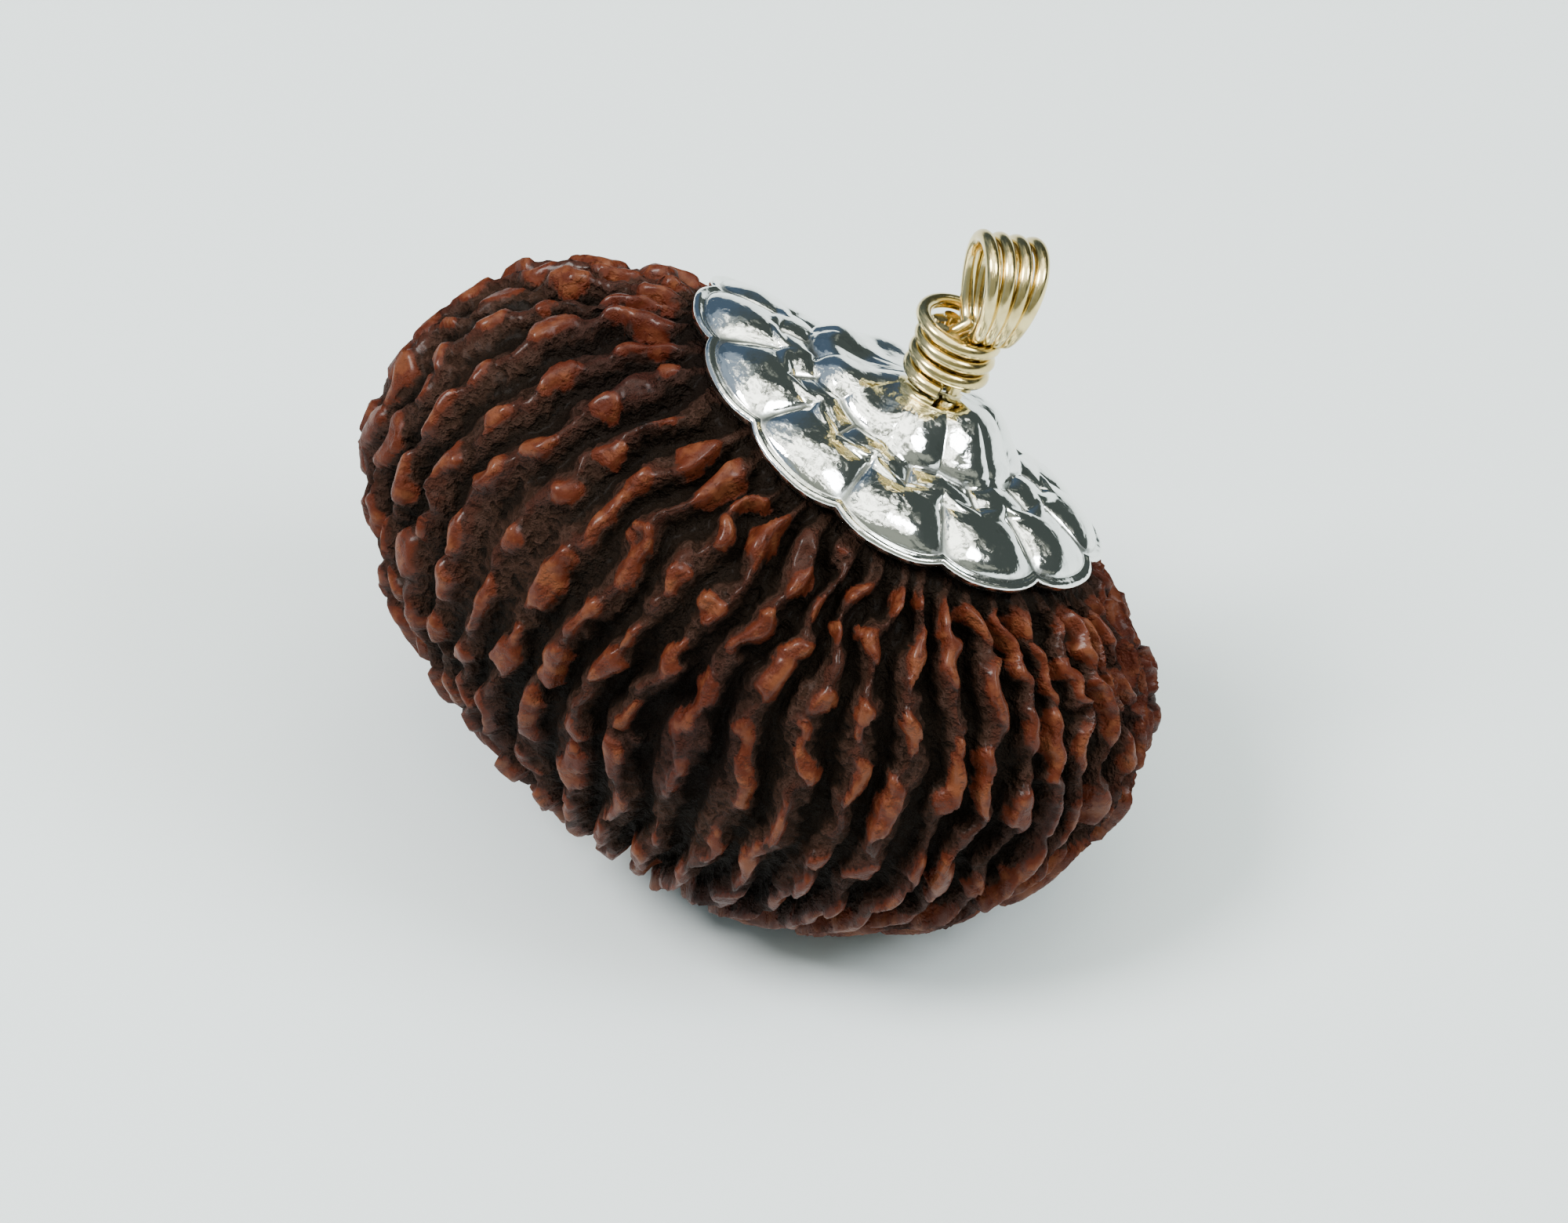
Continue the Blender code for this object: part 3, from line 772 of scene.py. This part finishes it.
def applied(source: bpy.types.Object, tree: Tree, name: str, **values: Any) -> bpy.types.Object:
    """Runs a Geometry Nodes tree on an object and keeps the result as a plain mesh.

    Args:
        source: The object to run it on; it is removed.
        tree: The tree.
        name: Name of the new object.
        values: Inputs by name, with _ for a space.

    Returns:
        The new object, at the origin.
    """
    modifier = source.modifiers.new("made", "NODES")
    modifier.node_group = tree
    for label, value in values.items():
        set_input(modifier, tree, label.replace("_", " "), value)
    bpy.context.view_layer.update()
    evaluated = source.evaluated_get(bpy.context.evaluated_depsgraph_get())
    mesh = bpy.data.meshes.new_from_object(evaluated)
    source.modifiers.clear()
    bpy.data.objects.remove(source)
    mesh.name = name
    return linked_object(name, mesh)


def linked_object(name: str, data: bpy.types.ID) -> bpy.types.Object:
    """A new object in the scene."""
    made = bpy.data.objects.new(name, data)
    bpy.context.scene.collection.objects.link(made)
    return made


def grid_mesh(name: str, rings: Sequence[Array], masks: dict[str, Sequence[Array]]) -> bpy.types.Mesh:
    """A closed mesh through rings of equal count, joined last to first.

    Args:
        name: The mesh's name.
        rings: The rings of points, each closed on itself.
        masks: Point attributes by name, one row to a ring.

    Returns:
        The mesh with its attributes and outward faces.
    """
    rows, columns = len(rings), len(rings[0])
    index = np.arange(rows * columns).reshape(rows, columns)
    below, beside = np.roll(index, -1, 0), np.roll(index, -1, 1)
    faces = np.stack([index, below, np.roll(below, -1, 1), beside], -1).reshape(-1, 4)
    mesh = bpy.data.meshes.new(name)
    mesh.from_pydata(np.concatenate(rings).tolist(), [], faces.tolist())
    for label, values in masks.items():
        layer = mesh.attributes.new(label, "FLOAT", "POINT")
        layer.data.foreach_set("value", np.concatenate(values).astype(np.float32))
    mesh.update()
    turned = bmesh.new()
    turned.from_mesh(mesh)
    if turned.calc_volume(signed=True) < 0:
        bmesh.ops.reverse_faces(turned, faces=turned.faces[:])
    turned.to_mesh(mesh)
    turned.free()
    return mesh


@dataclass
class SeedBead:
    """The seed bead: fine ribs and knobs over the lopsided form, with the hole through it.

    Attributes:
        pose: How the pendant lies.
        pattern: The ribs and knobs.
        hole_radius: Radius of the hole.
        columns_per_rib: Points across a rib.
        rows: Rings from pole to pole.
        pole_angle: Polar angle at the mouths of the hole.
        finish: The shell's finish.
    """

    pose: RestingPose
    pattern: RibPattern = field(default_factory=RibPattern)
    hole_radius: float = 1.0 * MM
    columns_per_rib: int = 11
    rows: int = 200
    pole_angle: float = 0.16
    finish: SeedShellFinish = field(default_factory=SeedShellFinish)

    def ring(self, polar: float) -> tuple[Array, dict[str, Array]]:
        """One ring round the hole's axis.

        Args:
            polar: Its polar angle.

        Returns:
            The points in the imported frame, and the masks crest, knob, tint and work.
        """
        count = self.pattern.ribs * self.columns_per_rib
        rib = np.arange(count) / self.columns_per_rib
        place = np.full(count, polar)
        worked = self.pattern.relief(rib, place)
        points, normals = self.pattern.form.surface(self.pattern.angle(rib, place), place)
        points = points + normals * worked["height"][:, None]
        # Zones of the painted purplish sheen.
        tint = smooth_step(-0.6, 1.4, waves(points, 11 * MM, 21))
        points = self.pose.to_world(points)
        work = smooth_step(0.0, 0.4 * MM, points[:, 2]) * (1.0 - 0.6 * worked["knob"])
        points[:, 2] = np.maximum(points[:, 2], 0)
        return points, {"crest": worked["crest"], "knob": worked["knob"], "tint": tint, "work": work}

    def mouth(self, ring: Array) -> Array:
        """The edge of the hole inside an end ring.

        Args:
            ring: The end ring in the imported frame.

        Returns:
            The mouth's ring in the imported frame.
        """
        back = np.array(self.pose.matrix().inverted())
        local = ring @ back[:3, :3].T + back[:3, 3]
        turn = np.arctan2(local[:, 1], local[:, 0])
        mouth = np.stack([np.cos(turn), np.sin(turn), np.zeros_like(turn)], 1) * self.hole_radius
        mouth[:, 2] = local[:, 2].mean() * 1.01
        return self.pose.to_world(mouth)

    def build(self) -> bpy.types.Object:
        """Builds the bead in place of its solid.

        Returns:
            The finished piece.
        """
        rings, masks = [], {}
        for polar in np.linspace(self.pole_angle, math.pi - self.pole_angle, self.rows):
            points, found = self.ring(float(polar))
            rings.append(points)
            for label, values in found.items():
                masks.setdefault(label, []).append(values)
        for place in (0, len(rings)):
            rings.insert(place, self.mouth(rings[0 if place == 0 else -1]))
            for values in masks.values():
                # Painted shade: zero masks at the mouths of the hole give them the near-black colour of the
                # grooves.
                values.insert(place, np.zeros_like(values[0]))
        mesh = grid_mesh("rough_bead", rings, masks)
        piece = applied(linked_object("rough_bead", mesh), worked_tree(), "ribbed_seed", Amount=0.28 * MM,
                        Scale=1000.0, Creases=0.8, Level=0.85, Seed=4.0, Material=self.finish.make())
        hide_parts("rudraksha_bead")
        return piece


@dataclass
class PetalCap:
    """The cap: a pressed silver sheet in twelve petals round a raised dome.

    Attributes:
        pose: How the pendant lies.
        form: The bead's smooth form, which the sheet follows.
        long_half: Half length along the bead's long axis.
        cross_half: Half widths across it, behind and in front.
        sheet: Thickness of the sheet.
        gap: Gap over the smooth form.
        petals: Number of petals.
        notch: Depth of the notches between petals, as a share of the reach.
        petal_rise: Height of the petals.
        outer_row: Middle and half length of the outer row of petals, as shares of the reach.
        inner_row: The same for the row between them and the dome.
        dome_rise: Height of the dome.
        dome_share: Share of the reach that the dome covers.
        dome_lobes: Number of its soft lobes.
        lip: Height of the bead along the rim.
        seat: Tilt of the dome's top, which the neck of the wire sits on.
        hole: Radius of the hole for the wire.
        columns_per_petal: Points across a petal.
        finish: The silver's finish.
    """

    pose: RestingPose
    form: BeadForm = field(default_factory=BeadForm)
    long_half: float = 10.1 * MM
    cross_half: Pair = (6.7 * MM, 8.2 * MM)
    sheet: float = 0.45 * MM
    gap: float = 0.35 * MM
    petals: int = 12
    notch: float = 0.05
    petal_rise: float = 0.5 * MM
    outer_row: Pair = (0.80, 0.155)
    inner_row: Pair = (0.60, 0.09)
    dome_rise: float = 1.4 * MM
    dome_share: float = 0.53
    dome_lobes: int = 7
    lip: float = 0.12 * MM
    seat: float = math.radians(13.0)
    hole: float = 0.55 * MM
    columns_per_petal: int = 34
    finish: SilverFinish = field(default_factory=SilverFinish)

    def outline(self, angle: Array) -> Array:
        """Share of the reach at an angle: round petal ends with notches between them."""
        across = 2 * (angle * self.petals / (2 * math.pi) % 1) - 1
        return 1 - self.notch * np.abs(across) ** 2.6

    @staticmethod
    def petal_row(share: float, across: Array, row: Pair) -> Array:
        """Height of a row of petals, from 0 to 1.

        Args:
            share: Share of the reach.
            across: Place across the petals, -1 to 1.
            row: Middle and half length of the row.

        Returns:
            The height.
        """
        along = np.clip(1 - ((share - row[0]) / row[1]) ** 2, 0, 1) ** 0.6
        return along * (1 - np.abs(across) ** 2.2) ** 0.7

    def relief(self, share: float, angle: Array) -> tuple[Array, Array]:
        """Height of the sheet over its lowest line, and the creases.

        Args:
            share: Share of the reach, 0 at the hole and 1 at the rim.
            angle: Angle round the hole.

        Returns:
            The height and the crease mask.
        """
        across = 2 * (angle * self.petals / (2 * math.pi) % 1) - 1
        between = 2 * (angle * self.petals / (2 * math.pi) % 1 + 0.5) % 2 - 1
        outer = self.petal_row(share, across, self.outer_row)
        middle = self.petal_row(share, between, self.inner_row)
        lobes = np.cos(self.dome_lobes * angle / 2 + 0.4) ** 2
        dome = np.clip(1 - (share / (self.dome_share * (1 - 0.05 * lobes))) ** 2.8, 0, 1) ** 0.6
        dome = dome * (1 - 0.12 * lobes * smooth_step(0.12, 0.40, share))
        back = np.clip(np.sin(angle) - 0.3 * np.cos(angle), 0, 1)
        dome = dome * (1 + 0.5 * back * smooth_step(0.1, 0.5, share))
        petals = self.petal_rise * (1 - 0.45 * back) * (outer + 0.7 * middle)
        lip = self.lip * math.exp(-(((share - 0.985) / 0.018) ** 2))
        crease = np.clip(1 - 2.2 * (outer + middle) - 3 * dome, 0, 1) * smooth_step(0.975, 0.94, share)
        seat = math.tan(self.seat) * share * self.long_half * np.cos(angle)
        return petals + self.dome_rise * dome + lip + seat * smooth_step(0.46, 0.22, share), crease

    def ring(self, share: float, lift: float, edge: float = 0.0) -> tuple[Array, Array]:
        """One ring of the sheet.

        Args:
            share: Share of the reach.
            lift: Height over the sheet's lower face.
            edge: How far the ring stands out past its reach.

        Returns:
            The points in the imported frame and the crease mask.
        """
        columns = self.petals * self.columns_per_petal
        angle = np.arange(columns) * 2 * math.pi / columns
        reach = share * self.outline(angle)
        x = (reach * self.long_half + edge) * np.cos(angle)
        y = (reach * half_size(self.cross_half, np.sin(angle)) + edge) * np.sin(angle)
        height, crease = self.relief(share, angle)
        points = self.form.above(x, y, angle, self.gap + height + lift)
        return self.pose.to_world(points), crease

    def build(self) -> bpy.types.Object:
        """Builds the cap in place of its solid.

        Returns:
            The finished piece.
        """
        hole = self.hole / self.cross_half[0]
        shares = hole + (1 - hole) * np.concatenate([np.linspace(0, 0.94, 74), np.linspace(0.947, 1, 12)])
        top = [self.ring(float(share), self.sheet) for share in shares]
        rim = ((0.8, 0.02), (0.5, 0.05), (0.2, 0.02))
        top += [self.ring(1.0, lift * self.sheet, edge * MM) for lift, edge in rim]
        under = [self.ring(float(share), 0.0) for share in shares[::-3]]
        rings = [points for points, _ in top + under]
        creases = [crease for _, crease in top] + [np.ones_like(crease) for _, crease in under]
        work = [np.ones_like(crease) for crease in creases]
        mesh = grid_mesh("rough_cap", rings, {"crease": creases, "work": work})
        piece = applied(linked_object("rough_cap", mesh), worked_tree(), "petal_cap", Amount=0.16 * MM,
                        Scale=330.0, Creases=0.0, Level=0.5, Seed=9.0, Material=self.finish.make())
        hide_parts("silver_cap")
        return piece


@dataclass
class WireBail:
    """The bail: four loops side by side, wound round at the neck and held through the bead by one wire.

    Attributes:
        pose: How the pendant lies.
        wire: Diameter of the wire.
        neck_base: Foot of the neck.
        neck_radius: Radius of the bundle inside the turns.
        neck_length: Length of the bundle.
        neck_tilt: Lean of the neck from the hole's axis.
        turns: Turns round the neck.
        turns_start: Angle round the neck at which they start.
        pitch: Distance from one turn to the next.
        bulge: How far the last turn stands out.
        overlap: How far the turns press into the bundle.
        bundle: Number of straight strands round the loops' legs, inside the turns.
        loops: Number of loops.
        loop_height: Height of the loops.
        loop_half_width: Half width of the loops.
        loop_tilt: Lean of the loops from the hole's axis.
        loop_turn: Turn of the loops about the neck.
        loop_foot: How far the loops stand off the neck's axis.
        loop_sink: How far the loops' feet lie below the top of the bundle.
        loop_steps: Steps round a loop.
        leg_spread: Half distance between a loop's two legs in the bundle.
        leg_heights: Heights of the points along each leg.
        spacing_top: Distance between loops at their tops.
        spacing_neck: Distance between loops at the neck.
        curl_turns: Turns of the curl below the bead.
        curl_steps: Steps along the curl.
        curl_start: Inner radius of the curl.
        curl_radius: Outer radius of the curl.
        far_end: Height of the curl on the hole's axis.
        finish: The wire's finish.
    """

    pose: RestingPose
    wire: float = 0.64 * MM
    neck_base: Triple = (0.35 * MM, -0.1 * MM, 13.34 * MM)
    neck_radius: float = 1.33 * MM
    neck_length: float = 3.5 * MM
    neck_tilt: float = math.radians(-13.0)
    turns: float = 3.6
    turns_start: float = math.radians(-80.0)
    pitch: float = 0.75 * MM
    bulge: float = 0.25 * MM
    overlap: float = 0.12 * MM
    bundle: int = 8
    loops: int = 4
    loop_height: float = 4.2 * MM
    loop_half_width: float = 1.95 * MM
    loop_tilt: float = math.radians(-16.0)
    loop_turn: float = math.radians(30.0)
    loop_foot: float = 0.95 * MM
    loop_sink: float = 0.5 * MM
    loop_steps: int = 72
    leg_spread: float = 0.45 * MM
    leg_heights: Triple = (0.15 * MM, 0.9 * MM, 1.8 * MM)
    spacing_top: float = 0.76 * MM
    spacing_neck: float = 0.42 * MM
    curl_turns: float = 1.5
    curl_steps: int = 72
    curl_start: float = 0.55 * MM
    curl_radius: float = 1.75 * MM
    far_end: float = -12.55 * MM
    finish: GoldWireFinish = field(default_factory=GoldWireFinish)

    def neck(self) -> Matrix:
        """Frame of the neck in the bead's own frame."""
        return Matrix.Translation(self.neck_base) @ Matrix.Rotation(self.neck_tilt, 4, "Y")

    def crown(self) -> Matrix:
        """Frame of the loops in the bead's own frame."""
        foot = Matrix.Translation((self.loop_foot, 0, self.neck_length))
        lean = Matrix.Rotation(self.loop_tilt - self.neck_tilt, 4, "Y")
        return self.neck() @ foot @ lean @ Matrix.Rotation(self.loop_turn, 4, "Z")

    def loop_route(self, number: int) -> list[Vector]:
        """One loop, from the bundle up, round the top and down into the bundle again.

        Args:
            number: Which loop, from 0.

        Returns:
            The route in the bead's own frame.
        """
        place = number - (self.loops - 1) / 2
        crown, neck, route = self.crown(), self.neck(), []
        for step in range(self.loop_steps + 1):
            turn = math.pi * (2 * step / self.loop_steps - 1)
            rise = (1 + math.cos(turn)) / 2
            spacing = self.spacing_neck + (self.spacing_top - self.spacing_neck) * rise
            side = self.loop_half_width * math.sin(turn) * (0.55 + 0.45 * rise)
            side += self.leg_spread * math.copysign(1 - rise, turn)
            route.append(crown @ Vector((place * spacing, side, self.loop_height * rise - self.loop_sink)))
        turned = Matrix.Rotation(self.loop_turn, 4, "Z")
        ends = []
        for side in (-1, 1):
            leg = turned @ Vector((place * self.spacing_neck, self.leg_spread * side, 0))
            ends.append([neck @ Vector((leg.x, leg.y, height)) for height in self.leg_heights])
        return ends[0] + route + ends[1][::-1]

    def wrap_route(self) -> list[Vector]:
        """The turns round the neck from the cap up to the loops, the last bulging at one side."""
        count, route, neck = int(self.turns * 48), [], self.neck()
        for step in range(count + 1):
            turn = 2 * math.pi * self.turns * step / count
            angle = self.turns_start - turn
            bulge = max(0, math.cos(angle - math.pi)) * max(0, step / count - 0.7) / 0.2
            radius = self.neck_radius + self.wire / 2 - self.overlap + self.bulge * bulge
            height = self.wire / 2 + self.pitch * turn / (2 * math.pi) + 0.5 * self.bulge * bulge
            route.append(neck @ Vector((radius * math.cos(angle), radius * math.sin(angle), height)))
        return route

    def strand_route(self, number: int) -> list[Vector]:
        """One straight strand of the bundle inside the turns."""
        angle, reach, neck = 2 * math.pi * number / self.bundle, self.neck_radius - self.wire / 2, self.neck()
        heights = np.linspace(0.15 * MM, self.neck_length - 0.75 * MM, 6)
        return [neck @ Vector((reach * math.cos(angle), reach * math.sin(angle), float(z))) for z in heights]

    def stem_route(self) -> list[Vector]:
        """The wire from the curl below the bead, up through the hole and into the neck."""
        route, base = [], Vector(self.neck_base)
        for step in range(self.curl_steps, 0, -1):
            turn = 2 * math.pi * self.curl_turns * step / self.curl_steps
            radius = self.curl_start + (self.curl_radius - self.curl_start) * step / self.curl_steps
            route.append(Vector((radius * math.cos(turn), radius * math.sin(turn), self.far_end)))
        start = self.curl_start
        route.append(Vector((start, 0, self.far_end)))
        route.append(Vector((0.25 * start, -0.55 * start, self.far_end + 0.1 * MM)))
        route.append(Vector((0, -0.3 * start, self.far_end + 0.45 * MM)))
        route += [Vector((0, 0, self.far_end + 1.2 * MM)), Vector((0, 0, base.z))]
        return route + [self.neck() @ Vector((0, 0, 1.2 * MM))]

    def build(self) -> bpy.types.Object:
        """Builds the wire in place of its solid.

        Returns:
            The finished piece.
        """
        curve = bpy.data.curves.new("wire_routes", "CURVE")
        curve.dimensions = "3D"
        world = self.pose.matrix()
        routes = [self.stem_route(), self.wrap_route()] + [self.loop_route(n) for n in range(self.loops)]
        routes += [self.strand_route(n) for n in range(self.bundle)]
        for route in routes:
            spline = curve.splines.new("POLY")
            spline.points.add(len(route) - 1)
            for point, place in zip(spline.points, route):
                point.co = (*(world @ place), 1)
        piece = applied(linked_object("wire_routes", curve), wire_tree(), "wound_bail",
                        Wire_Radius=self.wire / 2, Sides=20, Material=self.finish.make())
        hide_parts("bail_wire")
        return piece


class LampSide(Enum):
    """Where a lamp stands, seen from the camera."""

    LEFT = "left"
    RIGHT = "right"


@dataclass(frozen=True)
class Lamp:
    """A soft round lamp that faces the pendant.

    Attributes:
        side: Where it stands.
        way: Direction to it from the pendant.
        distance: Distance of it.
        size: Its diameter.
        power: Its power in watts.
        colour: Colour of its light.
    """

    side: LampSide
    way: Triple
    distance: float
    size: float
    power: float
    colour: Triple


@dataclass(frozen=True)
class Glow:
    """A part of the room, round one direction, that polished metal reflects.

    Attributes:
        way: Direction of its middle.
        scale: Waves of its unevenness.
        detail: Octaves of its unevenness.
        uneven: How much the unevenness moves its edge.
        edge: Where the edge begins and ends, as the cosine to its middle plus the unevenness.
    """

    way: Triple
    scale: float
    detail: float
    uneven: float
    edge: Pair

    def share(self, sketch: NodeSketch, way: Socket) -> Socket:
        """How far each direction lies inside this part.

        Args:
            sketch: The world's sketch.
            way: The direction looked at.

        Returns:
            The share, from 0 to 1.
        """
        ways = {0: way, 1: Vector(self.way).normalized()}
        toward = sketch.add("ShaderNodeVectorMath", ways, operation="DOT_PRODUCT")
        noise = sketch.noise(way, self.scale, self.detail)
        return sketch.spread(sketch.math("MULTIPLY_ADD", noise, self.uneven, toward.outputs[1]), *self.edge)


@dataclass
class Studio:
    """Plain pale floor, two soft lamps, a room with a bright window overhead, and the camera.

    Attributes:
        pose: How the pendant lies.
        aim: Point that the camera looks at, from the bead's own origin.
        azimuth: The camera's azimuth in degrees, 0 looking along +Y.
        elevation: Its elevation in degrees.
        distance: Its distance from the aim.
        lens: Focal length in millimetres.
        floor_half: Half size of the floor.
        floor_gap: Gap between the floor and the resting plane.
        lamps: The two lamps.
        lighter: The lighter part of the room, behind the camera and overhead.
        window: The bright window overhead.
        blue_side: X of a direction at which the bluer half of the room begins, and is full.
        grey: Colours of the room's darker and lighter part.
        blue: The same for its bluer half.
        pane: Colour of the window.
    """

    pose: RestingPose
    aim: Triple = (0.615 * MM, -0.186 * MM, -0.396 * MM)
    azimuth: float = 29.9
    elevation: float = 50.0
    distance: float = 255 * MM
    lens: float = 135.0
    floor_half: float = 1.2
    floor_gap: float = 0.02 * MM
    lamps: tuple[Lamp, ...] = (
        Lamp(LampSide.LEFT, (-0.389, -0.356, 0.849), 0.55, 0.20, 5.0, (1.0, 0.972, 0.94)),
        Lamp(LampSide.RIGHT, (0.66, 0.20, 0.72), 0.60, 0.24, 2.9, (0.93, 0.975, 1.0)),
    )
    lighter: Glow = Glow((-0.10, -0.50, 0.86), 3.6, 4, 2.0, (1.14, 1.42))
    window: Glow = Glow((0.14, 0.10, 0.98), 7.5, 5, 1.3, (1.50, 1.58))
    blue_side: Pair = (0.0, -0.45)
    grey: tuple[Triple, Triple] = ((0.065, 0.080, 0.075), (0.36, 0.39, 0.33))
    blue: tuple[Triple, Triple] = ((0.075, 0.115, 0.17), (0.34, 0.43, 0.54))
    pane: Triple = (5.0, 5.1, 4.6)

    def toward_camera(self) -> Vector:
        """Unit vector from the aim to the camera."""
        turn, rise = math.radians(self.azimuth), math.radians(self.elevation)
        return Vector((math.sin(turn) * math.cos(rise), -math.cos(turn) * math.cos(rise), math.sin(rise)))

    def target(self) -> Vector:
        """The point that the camera and the lamps look at."""
        return Vector(self.pose.place) + Vector(self.aim)

    def set_camera(self) -> bpy.types.Object:
        """Adds the camera at the photograph's angle."""
        data = bpy.data.cameras.new("view")
        data.lens, data.sensor_width, data.clip_start = self.lens, 36.0, 0.01
        camera = linked_object("view", data)
        camera.location = self.target() + self.toward_camera() * self.distance
        camera.rotation_euler = self.toward_camera().to_track_quat("Z", "Y").to_euler()
        bpy.context.scene.camera = camera
        return camera

    def lay_floor(self) -> bpy.types.Object:
        """Adds the floor just under the resting plane."""
        mesh = bpy.data.meshes.new("floor")
        half = self.floor_half
        corners = [(-half, -half, 0), (half, -half, 0), (half, half, 0), (-half, half, 0)]
        mesh.from_pydata(corners, [], [(0, 1, 2, 3)])
        floor = linked_object("floor", mesh)
        floor.location.z = -self.floor_gap
        mesh.materials.append(FloorFinish().make())
        return floor

    def hang_lamps(self) -> None:
        """Adds the soft lamps, each facing the pendant."""
        for lamp in self.lamps:
            data = bpy.data.lights.new(f"lamp_{lamp.side.value}", "AREA")
            data.shape, data.size, data.energy, data.color = "DISK", lamp.size, lamp.power, lamp.colour
            hung = linked_object(data.name, data)
            direction = Vector(lamp.way).normalized()
            hung.location = self.target() + direction * lamp.distance
            hung.rotation_euler = direction.to_track_quat("Z", "Y").to_euler()

    def light_room(self) -> None:
        """Gives the room its soft light, in bright and dark patches for polished metal to reflect."""
        world = bpy.data.worlds.new("room")
        world.use_nodes = True
        bpy.context.scene.world = world
        sketch = NodeSketch(world.node_tree)
        way = sketch.add("ShaderNodeTexCoord").outputs["Generated"]
        apart = sketch.add("ShaderNodeSeparateXYZ", {0: way}).outputs
        patch = self.lighter.share(sketch, way)
        grey, blue = (sketch.blend(patch, rgba(dark), rgba(light)) for dark, light in (self.grey, self.blue))
        walls = sketch.blend(sketch.spread(apart["X"], *self.blue_side), grey, blue)
        colour = sketch.blend(self.window.share(sketch, way), walls, rgba(self.pane))
        backdrop = world.node_tree.nodes["Background"]
        sketch.fill(backdrop.inputs["Color"], colour)
        backdrop.inputs["Strength"].default_value = 1.0

    def build(self) -> None:
        """Sets up floor, lamps, room light and camera."""
        self.set_camera()
        self.lay_floor()
        self.hang_lamps()
        self.light_room()


def main() -> None:
    """Builds the studio and the three pieces, and reports each."""
    logging.basicConfig(level=logging.INFO, format="%(message)s")
    pose = RestingPose()
    Studio(pose).build()
    for maker in (SeedBead(pose), PetalCap(pose), WireBail(pose)):
        piece = maker.build()
        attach(piece, "root")
        log.info("%s: %d faces, rides on root", piece.name, len(piece.data.polygons))


if __name__ == "__main__":
    main()
